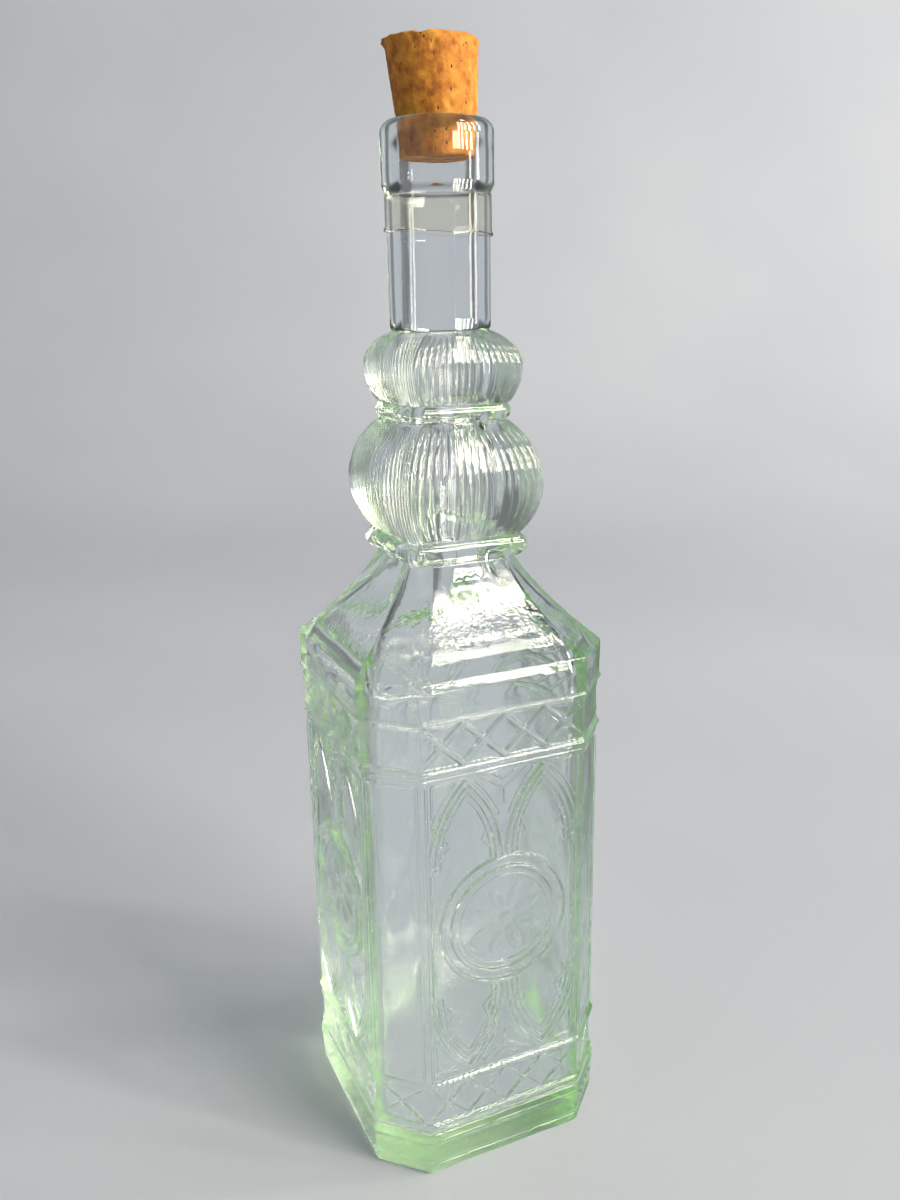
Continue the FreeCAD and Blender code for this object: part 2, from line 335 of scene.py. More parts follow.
def body_profile(v):
    v = np.asarray(v, float)
    straight_top = LEDGE_Z - PLINTH_ROUND
    share = np.clip((v - FOOT_ROUND) / (straight_top - FOOT_ROUND), 0, 1)
    over = np.clip((v - straight_top) / PLINTH_ROUND, 0, 1)
    plinth = PLINTH_OUT - PLINTH_DRAFT * (1 - share) - PLINTH_ROUND * (1 - np.sqrt(1 - over ** 2))
    plinth = plinth + round_ridge(np.abs(v - PLINTH_LINE_Z), FINE_LINE_WIDTH, 0.18)
    plinth = plinth - round_ridge(np.abs(v - PLINTH_GROOVE_Z), FINE_LINE_WIDTH, 0.25)
    total = np.where(v > LEDGE_Z + 0.05, 0.0, plinth)
    total = total + ledge(v, PEARL_Z, PEARL_RISE)
    for crest in (RIDGE_LOW_Z, RIDGE_HIGH_Z):
        total = total + ledge(v, crest, RIDGE_RISE)
    total = total + round_ridge(np.abs(v - ROPE_LINE_Z), ROPE_LINE_WIDTH, 0.16)
    under = np.clip((v - BAND_UNDER_Z) / BAND_ROUND, 0, 1)
    return total + BAND_OUT * np.sin(math.pi / 2 * under) + ledge(v, BEAD_Z, BEAD_RISE, BEAD_UNDER)


def body_levels():
    """Levels of the body walls, and which of them carry the outline of a ridge or step."""
    marks = [FOOT_ROUND] + ridge_levels(PLINTH_GROOVE_Z, FINE_LINE_WIDTH)
    marks += ridge_levels(PLINTH_LINE_Z, FINE_LINE_WIDTH)
    marks += [LEDGE_Z - PLINTH_ROUND * share for share in (1.0, 0.75, 0.5, 0.25, 0.08, 0.0)]
    marks += [LEDGE_Z + 0.1] + ledge_levels(PEARL_Z, PEARL_RISE)
    marks += ledge_levels(RIDGE_LOW_Z, RIDGE_RISE) + ridge_levels(ROPE_LINE_Z, ROPE_LINE_WIDTH)
    marks += ledge_levels(RIDGE_HIGH_Z, RIDGE_RISE)
    marks += [BAND_UNDER_Z + BAND_ROUND * share for share in (0.0, 0.25, 0.5, 0.75, 0.97)]
    marks += ledge_levels(BEAD_Z, BEAD_RISE, BEAD_UNDER) + [SHOULDER_Z - BAND_ROUND]
    levels, marked = [marks[0]], [True]
    row_height = 1.6
    for mark in marks[1:]:
        start = levels[-1]
        gap = mark - start
        count = max(1, int(round(gap / row_height)))
        for i in range(count):
            levels.append(start + gap * (i + 1) / count)
            marked.append(i == count - 1)
    return levels, marked


# --- Relief patterns: each feature has guide lines for the mesh and a height field ---
RIB_GUIDES = np.array([-1.25, -1.0, -0.8, -0.55, -0.3, 0.3, 0.55, 0.8, 1.0, 1.25])


def rib_height(distance, width, rise):
    """Rib with a narrow flat top and rounded sides."""
    climb = np.clip((1 - 2 * distance / width) / 0.7, 0, 1)
    return rise * np.sin(math.pi / 2 * climb)


def arc_rib(hub_u, hub_v, radius, start, end, width, rise):
    """Rib along an arc, from start to end angle in radians."""
    count = max(4, int(abs(end - start) * radius / FINE_STEP))
    angles = np.linspace(start, end, count + 1)
    guides = [np.stack([hub_u + size * np.cos(angles), hub_v + size * np.sin(angles)], 1)
              for size in radius + RIB_GUIDES * width / 2]
    middle = (start + end) / 2
    reach = abs(end - start) / 2
    tips = [(hub_u + radius * math.cos(angle), hub_v + radius * math.sin(angle))
            for angle in (start, end)]

    def height(u, v):
        du, dv = u - hub_u, v - hub_v
        turn = np.abs(np.angle(np.exp(1j * (np.arctan2(dv, du) - middle))))
        off_tip = np.minimum(*[np.hypot(u - tip_u, v - tip_v) for tip_u, tip_v in tips])
        distance = np.where(turn > reach + 1e-9, off_tip, np.abs(np.hypot(du, dv) - radius))
        return rib_height(distance, width, rise)

    return guides, height


def line_rib(u0, v0, u1, v1, width, rise, step=1.4):
    length = math.hypot(u1 - u0, v1 - v0)
    du, dv = (u1 - u0) / length, (v1 - v0) / length
    along = np.linspace(0, length, max(2, int(length / step)) + 1)
    guides = [np.stack([u0 + du * along - dv * side, v0 + dv * along + du * side], 1)
              for side in RIB_GUIDES * width / 2]

    def height(u, v):
        t = np.clip((u - u0) * du + (v - v0) * dv, 0, length)
        return rib_height(np.hypot(u - u0 - t * du, v - v0 - t * dv), width, rise)

    return guides, height


def stud(u0, v0, long_radius, short_radius, rise, angle=0.0, corners=12, power=0.5):
    """Rounded bead or petal; a low power flattens its top."""
    c, s = math.cos(angle), math.sin(angle)
    guides = []
    turns = np.linspace(0, 2 * math.pi, corners + 1)
    for share in (1.25, 1.0, 0.8, 0.45):
        a, b = share * long_radius * np.cos(turns), share * short_radius * np.sin(turns)
        guides.append(np.stack([u0 + a * c - b * s, v0 + a * s + b * c], 1))
    guides.append(np.array([[u0, v0], [u0 + 0.2 * long_radius * c, v0 + 0.2 * long_radius * s]]))

    def height(u, v):
        a = ((u - u0) * c + (v - v0) * s) / long_radius
        b = (-(u - u0) * s + (v - v0) * c) / short_radius
        return rise * np.clip(1 - a * a - b * b, 0, None) ** power

    return guides, height


def lozenge(u0, v0, half_wide, half_high, rise):
    """Low diamond with a flat top and a border that slopes over the outer 0.28 of it."""
    guides = []
    corners = np.array([(1, 0), (0, 1), (-1, 0), (0, -1), (1, 0)]) * (half_wide, half_high)
    for share in (1.12, 1.0, 0.72):
        ring = []
        for a, b in zip(corners, corners[1:]):
            ring += [a + (b - a) * t for t in np.linspace(0, 1, 5)[:-1]]
        guides.append(np.array([u0, v0]) + share * np.array(ring + [corners[0]]))

    def height(u, v):
        away = np.abs(u - u0) / half_wide + np.abs(v - v0) / half_high
        return rise * np.clip((1 - away) / 0.28, 0, 1)

    return guides, height


def bead_row(v, flat, pitch, long_radius, short_radius, rise, slant, power):
    count = int((2 * flat - 1.2) / pitch)
    return [stud((i - (count - 1) / 2) * pitch, v, long_radius, short_radius, rise, slant, 8, power)
            for i in range(count)]


def bead_rows(flat):
    """Beads on the foot, pearls over the ledge, ropes on the ridges and beads under the band."""
    middle = slope_height(RIDGE_RISE) / 2
    rows = []
    for v, beads in ((FOOT_BEAD_Z, FOOT_BEADS), (PLINTH_BEAD_Z, PLINTH_BEADS),
                     (PEARL_Z + 0.35, PEARLS), (RIDGE_LOW_Z + middle, ROPE),
                     (RIDGE_HIGH_Z + middle, ROPE), (BEAD_Z + 0.4, BAND_BEADS)):
        rows += bead_row(v, flat, *beads)
    return rows


def arch_side(centre, spring, side, direction, inset, width, rise, heights=(0.0, ARCH_HEIGHT)):
    """One side of a pointed arch: upright at its springing, meeting its twin at the apex."""
    hub = centre + side * (ARCH_SPAN - ARCH_RADIUS)
    radius = ARCH_RADIUS - inset
    low = math.asin(heights[0] / radius)
    top = math.asin(min(heights[1] / radius, 1.0))
    if inset >= 0:
        top = min(top, math.acos((ARCH_RADIUS - ARCH_SPAN) / radius))
    ends = [low, top] if side > 0 else [math.pi - low, math.pi - top]
    if direction < 0:
        ends = [-angle for angle in ends]
    return arc_rib(hub, spring, radius, min(ends), max(ends), width, rise)


def border_line(place, width, rise):
    """Upright line near the side of a flat, between the ropes."""
    return line_rib(place, RIDGE_LOW_Z + 1.6, place, RIDGE_HIGH_Z - 3.2, width, rise)


def panel_features(flat):
    """Embossing of one main panel; flat is half the width of the flat."""
    features = []
    spring_away = ARCH_TOP - ARCH_HEIGHT
    for side in (-1, 1):
        post = side * (ARCH_CENTRE + ARCH_SPAN - 1.2)
        features += [border_line(side * (flat - 0.75), 0.9, 0.5),
                     line_rib(post, PANEL_MIDDLE - spring_away, post, PANEL_MIDDLE + spring_away,
                              1.4, 0.8)]
    for radius, width, rise in RING_RIBS:
        features.append(arc_rib(0, PANEL_MIDDLE, radius, 0.0, 2 * math.pi, width, rise))
    for direction in (-1, 1):
        spring = PANEL_MIDDLE + direction * spring_away
        for centre in (-ARCH_CENTRE, ARCH_CENTRE):
            for side in (-1, 1):
                features += [arch_side(centre, spring, side, direction, *rib) for rib in ARCH_RIBS]
                features += cusp(centre, spring, side, direction)
        features += spandrels(spring, direction)
    features += rosette(PANEL_MIDDLE)
    low = RIDGE_HIGH_Z + slope_height(RIDGE_RISE)
    features += lattice(low, BAND_UNDER_Z, flat, 2.0, 0.85)
    features += lattice(PEARL_Z + slope_height(PEARL_RISE), RIDGE_LOW_Z - RIDGE_UNDER, flat,
                        1.2, 0.75)
    pitch = (flat + 0.6) / 2
    return features + [lozenge((i - 1.5) * pitch, (low + BAND_UNDER_Z) / 2, 2.7, 2.2, 0.55)
                       for i in range(4)]


def cusp(centre, spring, side, direction):
    """Pointed foil inside the foot of an arch, with a small boss in its eye."""
    def at(away, up):
        return centre + side * away, spring + direction * up

    tip = at(4.6, 5.7)
    return [line_rib(*at(ARCH_SPAN - 1.8, 0.9), *tip, 0.9, 0.42, FINE_STEP),
            line_rib(*tip, *at(6.7, 10.6), 0.9, 0.42, FINE_STEP),
            stud(*at(7.2, 5.9), 0.75, 0.75, 0.35, corners=8)]


def spandrels(spring, direction):
    """Ribs that follow the arches, a Y between them and lines in the outer corners."""
    top = spring + direction * (ARCH_HEIGHT - 0.7)
    reach = (12.5, ARCH_HEIGHT - 1.2)
    made = []

    def line(u0, down0, u1, down1, width, rise):
        made.append(line_rib(u0, top - direction * down0, u1, top - direction * down1, width, rise,
                             FINE_STEP))

    for side in (-1, 1):
        for centre in (-side * ARCH_CENTRE, side * ARCH_CENTRE):
            made.append(arch_side(centre, spring, side, direction, -1.0, 0.8, 0.38, reach))
        line(side * 6.6, 0.0, 0, 4.4, 0.9, 0.45)
        line(side * 3.6, -0.3, 0, 2.0, 0.7, 0.35)
        corner_u = side * (ARCH_CENTRE + ARCH_SPAN - 1.6)
        line(corner_u, 0.0, corner_u, 9.0, 0.8, 0.4)
        line(corner_u, 0.0, side * (ARCH_CENTRE + 4.0), 0.0, 0.8, 0.4)
    line(0, 4.4, 0, 8.2, 0.9, 0.45)
    return made


def rosette(v0):
    """Traditional eight-petalled flower with a round eye."""
    petals = [stud(7.2 * math.cos(angle), v0 + 7.2 * math.sin(angle), 3.9, 1.7, 0.45, angle, 18)
              for angle in (math.pi / 8 + i * math.pi / 4 for i in range(8))]
    return petals + [stud(0, v0, 2.1, 2.1, 0.55, corners=14)]


def crossed(low, high, inset=0.15):
    """Start and end levels of the two bars of a cross."""
    return (low + inset, high - inset), (high - inset, low + inset)


def lattice(low, high, flat, width, rise):
    """Crossing bars that make four diamonds across the panel."""
    reach = flat + 0.6
    pitch = reach / 2
    limit = flat - 0.7
    made = []
    for i in range(-1, 5):
        u0 = -reach + i * pitch
        first, last = max(0.0, (-limit - u0) / pitch), min(1.0, (limit - u0) / pitch)
        for start, end in crossed(low, high):
            if last - first > 0.1:
                made.append(line_rib(u0 + first * pitch, start + first * (end - start),
                                     u0 + last * pitch, start + last * (end - start),
                                     width, rise, FINE_STEP))
    return made


def chamfer_features(flat):
    place = flat - 0.8
    features = [border_line(side * place, 0.8, 0.35) for side in (-1, 1)]
    for start, end in crossed(PEARL_Z + slope_height(PEARL_RISE), RIDGE_LOW_Z - RIDGE_UNDER):
        features.append(line_rib(-place, start, place, end, 1.1, 0.45, FINE_STEP))
    return features


def snapped(values, stops):
    """The values, with those that lie on a stop put exactly there."""
    stops = np.array(stops)
    nearest = stops[np.abs(values[:, None] - stops[None, :]).argmin(axis=1)]
    return np.where(np.abs(values - nearest) < 1e-4, nearest, values)


def relief_patch(flat, steps, levels, marked, features):
    """Triangulated relief over one flat; its outline keeps to the grid of its neighbours."""
    low, high = levels[0], levels[-1]
    columns = [flat * (2 * i / steps - 1) for i in range(steps + 1)]
    coords, edges = [], []

    def polyline(points, closed=False):
        start = len(coords)
        coords.extend(Vector((float(u), float(v))) for u, v in points)
        edges.extend((start + i, start + i + 1) for i in range(len(points) - 1))
        if closed:
            edges.append((start + len(points) - 1, start))

    outline = [(u, low) for u in columns] + [(flat, v) for v in levels[1:]]
    outline += [(u, high) for u in columns[::-1][1:]] + [(-flat, v) for v in levels[::-1][1:-1]]
    polyline(outline, closed=True)
    for v, mark in zip(levels[1:-1], marked[1:-1]):
        if mark:
            polyline([(u, v) for u in np.linspace(-flat, flat, steps // 3)])
    margin = 0.25
    for guides, _ in features:
        for line in guides:
            inside = np.abs(line[:, 0]) < flat - margin
            inside &= (line[:, 1] > low + margin) & (line[:, 1] < high - margin)
            changes = np.flatnonzero(np.diff(inside)) + 1
            for run in np.split(np.arange(len(line)), changes):
                if inside[run[0]]:
                    polyline(line[run])
    spacing = 2.2
    for i, v in enumerate(np.arange(low + 1.2, high - 0.8, spacing)):
        for u in np.arange(-flat + 1.0 + (i % 2) * spacing / 2, flat - 0.6, spacing):
            coords.append(Vector((float(u), float(v))))
    result = delaunay_2d_cdt(coords, edges, [], 0, 1e-4)
    points = np.array([(p.x, p.y) for p in result[0]])
    triangles = np.array([list(f) for f in result[2]])
    u, v = snapped(points[:, 0], columns), snapped(points[:, 1], levels)
    base = body_profile(v)
    proud = np.zeros(len(u))
    for _, height in features:
        proud = np.maximum(proud, height(u, v))
    rim = (np.abs(u) > flat - 1e-3) | (v < low + 1e-3) | (v > high - 1e-3)
    rise = np.where(rim, base, base + proud)
    (au, av), (bu, bv), (cu, cv) = (points[triangles[:, i]].T for i in range(3))
    area = (bu - au) * (cv - av) - (bv - av) * (cu - au)
    triangles[area < 0] = triangles[area < 0][:, ::-1]
    return u, v, rise, triangles


def add_body(shell):
    """Flats with their relief, and the rounded edges between them."""
    levels, marked = body_levels()
    tangent = EDGE_ROUND * TAN_HALF_TURN
    short = BODY_HALF - BODY_CUT
    patches = []
    for flat, steps, features_of, turn, distance in (
            (short - tangent, FACE_STEPS, panel_features, 0, BODY_HALF),
            (BODY_CUT * math.sqrt(2) / 2 - tangent, CUT_STEPS, chamfer_features, 45,
             (BODY_HALF + short) / math.sqrt(2))):
        features = features_of(flat) + bead_rows(flat)
        patches.append((relief_patch(flat, steps, levels, marked, features), turn, distance))
    for quarter in range(4):
        for (u, v, rise, triangles), turn, distance in patches:
            angle = math.radians(90 * quarter + turn)
            c, s = math.cos(angle), math.sin(angle)
            x, y = u, -(distance + rise)
            shell.add_triangles(np.column_stack([x * c - y * s, x * s + y * c, v]), triangles)
    ring, normals = ring_points(BODY_HALF, BODY_CUT, EDGE_ROUND)
    pushes = body_profile(levels)
    for quarter in range(4):
        for first in (FACE_STEPS, FACE_STEPS + ARC_STEPS + CUT_STEPS):
            pick = (quarter * QUARTER_COLUMNS + first + np.arange(ARC_STEPS + 1)) % len(ring)
            shell.add_rows([at_level(ring[pick] + normals[pick] * push, v)
                            for v, push in zip(levels, pushes)], closed=False)


# --- Storeys of the bottle ---
def bulge(z, middle, half, curve):
    away = np.minimum(np.abs(z - middle), 0.95 * curve)
    return half - curve + np.sqrt(curve ** 2 - away ** 2)


def bulb_low_half(z):
    return bulge(z, BULB_LOW_Z + 0.45 * (COLLAR_UP_Z - BULB_LOW_Z), BULB_LOW_HALF, 23.0)


def bulb_up_half(z):
    middle = BULB_UP_Z + 0.48 * (NECK_Z - BULB_UP_Z)
    return bulge(z, middle, BULB_UP_HALF, 17.0 if z < middle else 12.5)


def shoulder_section(z):
    """Half and cut of the hollow slope of the shoulder."""
    share = (z - SHOULDER_Z) / (COLLAR_LOW_Z - SHOULDER_Z)
    base = BODY_HALF + SHOULDER_BASE_OUT
    half = base + (SHOULDER_TOP_HALF - base) * share - 4 * SHOULDER_DIP * share * (1 - share)
    base_cut = wider_cut(BODY_CUT, SHOULDER_BASE_OUT)
    return half, base_cut + (SHOULDER_TOP_CUT - base_cut) * share


def square_row(z, half, cut, corner, push=0.0):
    points, normals = ring_points(half, cut, corner)
    push = np.broadcast_to(push, len(points))
    return at_level(points + normals * push[:, None], z)


def body_row(z, offset):
    return square_row(z, BODY_HALF, BODY_CUT, EDGE_ROUND, offset)


def round_row(z, radius):
    return at_level(circle_points(radius), z)


def foot_rows():
    """Underside and rounded foot."""
    rows = [square_row(0.0, half, BODY_CUT * half / BODY_HALF, EDGE_ROUND)
            for half in (4.0, 14.0, 24.0, 31.0)]
    foot = PLINTH_OUT - PLINTH_DRAFT
    return rows + [body_row(up, foot - inset) for inset, up in round_edge(FOOT_ROUND, 7)]


def rib_push():
    """Fine upright ribs round a bulb, as a push for each column."""
    share = np.arange(4 * QUARTER_COLUMNS) % QUARTER_COLUMNS - FACE_STEPS / 2
    share = share / QUARTER_COLUMNS * RIBS_PER_QUARTER
    return RIB_DEPTH * (np.abs(np.cos(math.pi * share)) ** 0.35 - 1)


def shoulder_rows():
    """Rounded top edge of the band and the hollow slopes up to the lower collar."""
    rows = [body_row(SHOULDER_Z - down, BAND_OUT - inset)
            for down, inset in round_edge(BAND_ROUND, 7, math.radians(52))]
    for z in np.linspace(SHOULDER_Z + 0.2, COLLAR_LOW_Z, 40):
        row = square_row(z, *shoulder_section(z), EDGE_ROUND)
        fade = smooth_step(z, SHOULDER_Z, SHOULDER_Z + 3)
        fade = fade * (1 - smooth_step(z, COLLAR_LOW_Z - 2, COLLAR_LOW_Z))
        ripple = fade * (0.010 * waves(row, 31, 3.4) + 0.045 * waves(row, 32, 14.0))
        rows.append(row + outward_of(row)[0] * ripple[:, None])
    return rows


def collar_rows(z, height, half, cut, corner):
    rows = []
    limit = 80
    for angle in np.radians(np.linspace(-limit, limit, 13)):
        inset = 0.38 * height * (1 - math.cos(angle))
        level = z + height / 2 + height / 2 * math.sin(angle) / math.sin(math.radians(limit))
        rows.append(square_row(level, half - inset, cut, corner))
    return rows


def bulb_rows(start, end, half_at, cut, count, fade_top=0.0):
    """Ribbed bulb; its ribs run out over the top fade_top, or go on to the end if that is 0."""
    ribs = rib_push()
    rows = []
    for z in np.linspace(start, end, count):
        strength = smooth_step(z, start, start + 2.0)
        if fade_top:
            strength = strength * (1 - smooth_step(z, end - fade_top, end - 0.3 * fade_top))
        rows.append(square_row(z, half_at(z), cut, BULB_CORNER, ribs * strength))
    return rows


def neck_rows():
    """Square top of the upper bulb turning into the round neck, then the lip."""
    rows = []
    end = NECK_Z - 0.7
    ribs = rib_push()
    for below, share in round_edge(1.0, 28)[1:]:
        z = end - (end - BULB_ROUND_Z) * below
        half = bulb_up_half(z)
        strength = 1 - smooth_step(z, end - 2.2, end - 0.6)
        square = square_row(z, half, BULB_UP_CUT, BULB_CORNER, ribs * strength)
        rows.append(square * (1 - share) + round_row(z, half) * share)
    last = bulb_up_half(end)
    for share in np.linspace(0, 1, 6)[1:]:
        ease = math.sin(math.pi / 2 * share)
        rows.append(round_row(end + 1.6 * share ** 2, last + (NECK_RADIUS - last) * ease))
    lip_start, lip_rise = LIP_Z - 1.8, 3.2
    rows += [round_row(z, NECK_RADIUS) for z in np.linspace(end + 3.2, lip_start, 18)]
    for share in np.linspace(0, 1, 7)[1:]:
        blend = (1 - math.cos(math.pi * share)) / 2
        radius = NECK_RADIUS + (LIP_RADIUS - NECK_RADIUS) * blend
        rows.append(round_row(lip_start + lip_rise * share, radius))
    rows += [round_row(z, LIP_RADIUS) for z in np.linspace(LIP_Z + 2.4, MOUTH_Z - LIP_ROUND, 9)]
    return rows + [round_row(MOUTH_Z - down, LIP_RADIUS - inset)
                   for down, inset in round_edge(LIP_ROUND, 9)[1:]]


def cork_radius(z):
    """Radius of the cork, which tapers by 0.085 mm for each mm."""
    top = (cork_high[0] - cork_low[0]) / 2 / MM
    return top - 0.085 * (CORK_TOP_Z - z)


def inner_rows():
    """Inside of the bottle, from the mouth down to the floor."""
    rows = []

    def circle(z, radius):
        rows.append(at_level(circle_points(radius, INNER_STEPS), z))

    def square(z, half, share_round=0.0):
        body = half >= 25
        cut = wider_cut(BODY_CUT, half - BODY_HALF) if body else INNER_CUT_SHARE * half
        points, normals = ring_points(half, cut, INNER_ROUND, INNER_STEPS)
        disc = circle_points(half * 0.98, INNER_STEPS)
        row = at_level(points * (1 - share_round) + disc * share_round, z)
        unevenness = 0.22 * waves(row, 41, 24.0) + 0.13 * waves(row, 42, 10.0)
        row[:, :2] += normals * ((1 - share_round) * unevenness)[:, None]
        rows.append(row)

    mouth = cork_radius(MOUTH_Z - MOUTH_ROUND) + CORK_GAP
    for out, down in round_edge(MOUTH_ROUND, 4):
        circle(MOUTH_Z - down, mouth + out)
    seat = MOUTH_Z - CORK_SEAT
    for z in (MOUTH_Z - CORK_SEAT / 2, seat):
        circle(z, cork_radius(z) + CORK_GAP)
    for z in np.linspace(seat - 2.0, NECK_Z + 1.0, 18):
        circle(z, BORE_RADIUS)
    for z in np.linspace(NECK_Z - 1.0, BULB_UP_Z + 1.0, 16):
        square(z, max(bulb_up_half(z) - BULB_WALL, THROAT_HALF),
               smooth_step(z, NECK_Z - 6.0, NECK_Z))
    for z in np.linspace(COLLAR_UP_Z + 1.5, BULB_LOW_Z + 2.0, 22):
        square(z, max(bulb_low_half(z) - BULB_WALL, THROAT_HALF))
    inner = BODY_HALF - WALL
    top_half, top_cut = THROAT_HALF + 1.0, INNER_CUT_SHARE * THROAT_HALF
    start, end = COLLAR_LOW_Z + 1.0, SHOULDER_Z - 5.0
    for z in np.linspace(start, end, 16):
        share = (start - z) / (start - end)
        ease = share - 0.1 * math.sin(2 * math.pi * share)
        cut = top_cut + (wider_cut(BODY_CUT, -WALL) - top_cut) * share
        points, _ = ring_points(top_half + (inner - top_half) * ease, cut, INNER_ROUND, INNER_STEPS)
        rows.append(at_level(points, z))
    for z in np.linspace(end - 2.5, FLOOR_Z + INNER_ROUND, 90):
        square(z, inner)
    for up, inset in round_edge(INNER_ROUND, 8)[1:]:
        square(FLOOR_Z + up, inner - inset)
    for half in (20.0, 12.0, 4.0):
        square(FLOOR_Z, half)
    return rows


def bottle_mesh():
    shell = Shell()
    columns = 4 * QUARTER_COLUMNS
    starts = shell.add_rows(foot_rows())
    shell.add_cap(starts[0], columns, 0, False)
    upper = shoulder_rows()
    upper += collar_rows(COLLAR_LOW_Z, 6.0, COLLAR_LOW_HALF, COLLAR_LOW_CUT, 1.2)
    upper += bulb_rows(BULB_LOW_Z, COLLAR_UP_Z, bulb_low_half, BULB_LOW_CUT, 46, 3.0)
    upper += collar_rows(COLLAR_UP_Z, 4.5, COLLAR_UP_HALF, COLLAR_UP_CUT, 1.4)
    upper += bulb_rows(BULB_UP_Z, BULB_ROUND_Z, bulb_up_half, BULB_UP_CUT, 16)
    lip = shell.add_rows(upper + neck_rows())[-1]
    inner = inner_rows()
    starts = shell.add_rows(inner)
    # The finer rows of the lip meet the coarser ones of the mouth in a ring of wide faces
    count = len(inner[0])
    ratio = columns // count
    shift = FACE_STEPS // 2 - ratio * INNER_STEPS[0] // 2
    for k in range(count):
        outer = [lip + (ratio * k + shift + i) % columns for i in range(ratio + 1)]
        shell.faces.append(outer + [starts[0] + (k + 1) % count, starts[0] + k])
    shell.add_cap(starts[-1], count, FLOOR_Z, True)
    add_body(shell)
    return shell.welded()


# --- Materials ---
BLACK, WHITE = (0, 0, 0), (1, 1, 1)
GLASS_TINT = (0.37, 0.80, 0.15, 1)
GLASS_DENSITY = 9.5
FILM_COLOUR = (1.0, 0.985, 0.92, 1)
CORK_TONES = ((0.28, (0.22, 0.060, 0.006)), (0.44, (0.50, 0.165, 0.014)),
              (0.58, (0.68, 0.265, 0.026)), (0.76, (0.82, 0.39, 0.05)))
PORE_COLOUR = (0.07, 0.03, 0.014, 1)


class Tree:
    """Node tree that is filled by calls. An input is a number, a colour or a socket to link."""

    def __init__(self, tree):
        tree.nodes.clear()
        self.tree = tree

    def add(self, kind, inputs, **settings):
        node = self.tree.nodes.new("ShaderNode" + kind)
        for name, value in settings.items():
            setattr(node, name, value)
        for name, value in inputs.items():
            if isinstance(value, bpy.types.NodeSocket):
                self.tree.links.new(value, node.inputs[name])
            else:
                node.inputs[name].default_value = value
        return node

    def place(self):
        return self.add("TexCoord", {}).outputs["Object"]

    def split(self, vector):
        return self.add("SeparateXYZ", {"Vector": vector}).outputs

    def noise(self, place, scale, detail, roughness=0.5):
        inputs = {"Vector": place, "Scale": scale, "Detail": detail, "Roughness": roughness}
        return self.add("TexNoise", inputs).outputs["Fac"]

    def math(self, operation, *values):
        return self.add("Math", dict(enumerate(values)), operation=operation).outputs["Value"]

    def spread(self, value, low, high):
        """A value from 0 to 1, carried over to low to high."""
        ends = {"Value": value, "To Min": low, "To Max": high}
        return self.add("MapRange", ends).outputs["Result"]

    def step(self, value, low, high):
        """Share from 0 at low to 1 at high, with soft ends."""
        ends = {"Value": value, "From Min": low, "From Max": high}
        return self.add("MapRange", ends, interpolation_type="SMOOTHSTEP").outputs["Result"]

    def mix(self, share, first, second, blend="MIX"):
        inputs = {"Factor": share, "A": first, "B": second}
        return self.add("Mix", inputs, data_type="RGBA", blend_type=blend).outputs["Result"]

    def ramp(self, value, stops):
        node = self.add("ValToRGB", {"Fac": value})
        elements = node.color_ramp.elements
        for i in (0, -1):
            elements[i].position, elements[i].color = stops[i][0], (*stops[i][1], 1)
        for place, colour in stops[1:-1]:
            elements.new(place).color = (*colour, 1)
        return node.outputs["Color"]

    def bump(self, height, strength, distance):
        inputs = {"Height": height, "Strength": strength, "Distance": distance}
        return self.add("Bump", inputs).outputs["Normal"]

    def glass_rays(self):
        """1 for what glass and gloss see, 0 for the camera and for diffuse light."""
        path = self.add("LightPath", {}).outputs
        return self.math("MAXIMUM", path["Is Glossy Ray"], path["Is Transmission Ray"])


def new_material(name):
    material = bpy.data.materials.new(name)
    material.use_nodes = True
    return material, Tree(material.node_tree)


def glass_material():
    """Clear glass, green in its depth, with an uneven shoulder and a less smooth inner wall."""
    material, tree = new_material("bottle_glass")
    place = tree.place()
    x, y, z = tree.split(place)

    def above(low, high):
        """Share that turns from 0 to 1 between two heights over the foot of the shoulder."""
        return tree.step(z, (SHOULDER_Z + low) * MM, (SHOULDER_Z + high) * MM)

    ripple = tree.noise(place, 220.0, 2.0)
    stipple = tree.noise(place, 900.0, 1.0)
    slope = tree.math("MULTIPLY", above(0.5, 3.0), above(17.0, 11.0))
    grain = tree.math("SUBTRACT", tree.math("ADD", ripple, stipple), 1.0)
    uneven = tree.math("MULTIPLY_ADD", tree.math("MULTIPLY", grain, slope), 2.5, ripple)
    aside, ahead = tree.math("ABSOLUTE", x), tree.math("ABSOLUTE", y)
    wall = tree.step(tree.math("MAXIMUM", aside, ahead), (BODY_HALF - 1.8) * MM,
                     (BODY_HALF - 2.2) * MM)
    corner = tree.step(tree.math("ADD", aside, ahead), 56.5 * MM, 55.5 * MM)
    inside = tree.math("MULTIPLY", tree.math("MULTIPLY", wall, corner), above(-6.0, -12.0))
    haze = tree.spread(tree.noise(place, 60.0, 3.0), 0.0, 0.05)
    shader = tree.add("BsdfPrincipled", {
        "Base Color": (*WHITE, 1), "Transmission Weight": 1.0, "IOR": 1.5,
        "Roughness": tree.math("MULTIPLY_ADD", inside, 0.17, haze),
        "Normal": tree.bump(uneven, 0.12, 0.0002)})
    depth = tree.add("VolumeAbsorption", {"Color": GLASS_TINT, "Density": GLASS_DENSITY})
    tree.add("OutputMaterial", {"Surface": shader.outputs["BSDF"],
                                "Volume": depth.outputs["Volume"]})
    return material


def film_material():
    """Clear crinkled film."""
    material, tree = new_material("clear_film")
    crinkle = tree.noise(tree.place(), 90.0, 3.0)
    shader = tree.add("BsdfPrincipled", {
        "Base Color": FILM_COLOUR, "Transmission Weight": 1.0, "IOR": 1.15,
        "Roughness": tree.spread(crinkle, 0.0, 0.06), "Normal": tree.bump(crinkle, 0.25, 0.0003)})
    tree.add("OutputMaterial", {"Surface": shader.outputs["BSDF"]})
    return material


